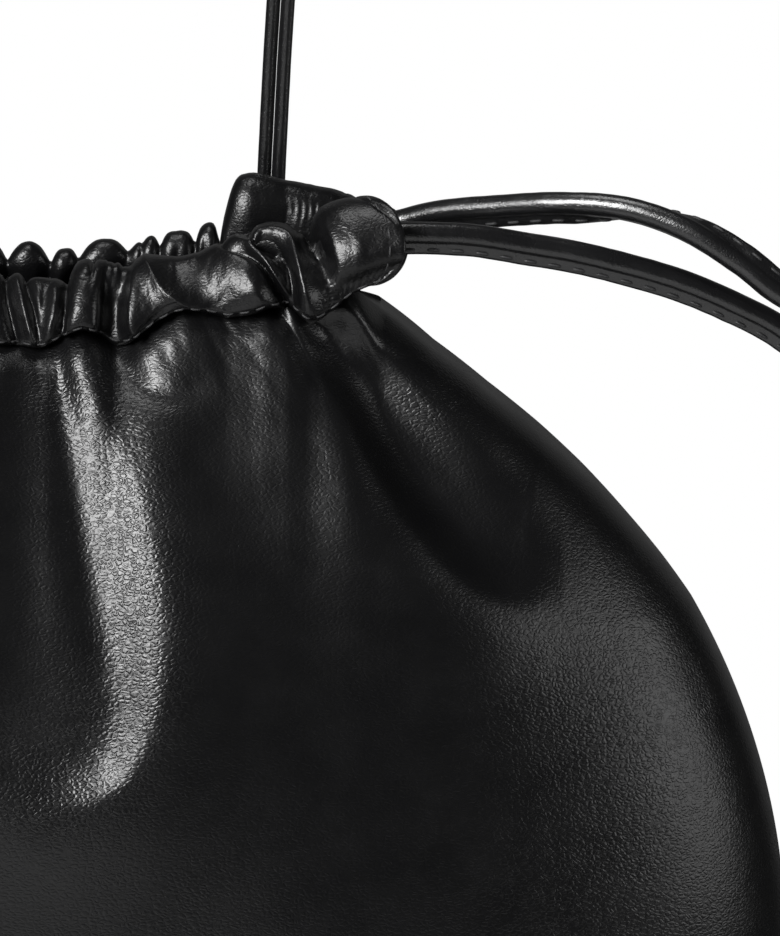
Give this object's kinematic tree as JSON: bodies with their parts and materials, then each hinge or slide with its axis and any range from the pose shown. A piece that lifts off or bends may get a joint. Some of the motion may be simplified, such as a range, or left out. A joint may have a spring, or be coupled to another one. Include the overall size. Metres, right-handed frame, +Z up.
{
  "type": "drawstring shoulder pouch",
  "caption": "Soft leather drawstring pouch with gathered casings round its mouth, a leather drawcord leaving to one side and a two-strand shoulder strap.",
  "frame": {"origin": "underside of the top of the strap, in the middle, where a hand or a hook holds the pouch", "axes": "+Z up, +X to the side where the drawcord leaves, seen at the right from the front, +Y to the back, where the strap is fastened"},
  "size_m": [0.345, 0.1144, 0.5167],
  "materials": {
    "body_leather": "smooth black nappa, satin",
    "cord_leather": "smooth black nappa, folded and sewn, semi-gloss"
  },
  "bodies": {
    "root": {"front_panel": "body_leather", "back_panel": "body_leather", "front_casing": "body_leather", "back_casing": "body_leather", "drawcord_loop": "cord_leather", "drawcord_run": "cord_leather", "strap_strand_inner": "cord_leather", "strap_strand_outer": "cord_leather", "strap_tab_right": "body_leather", "strap_tab_left": "body_leather"}
  },
  "joints": []
}
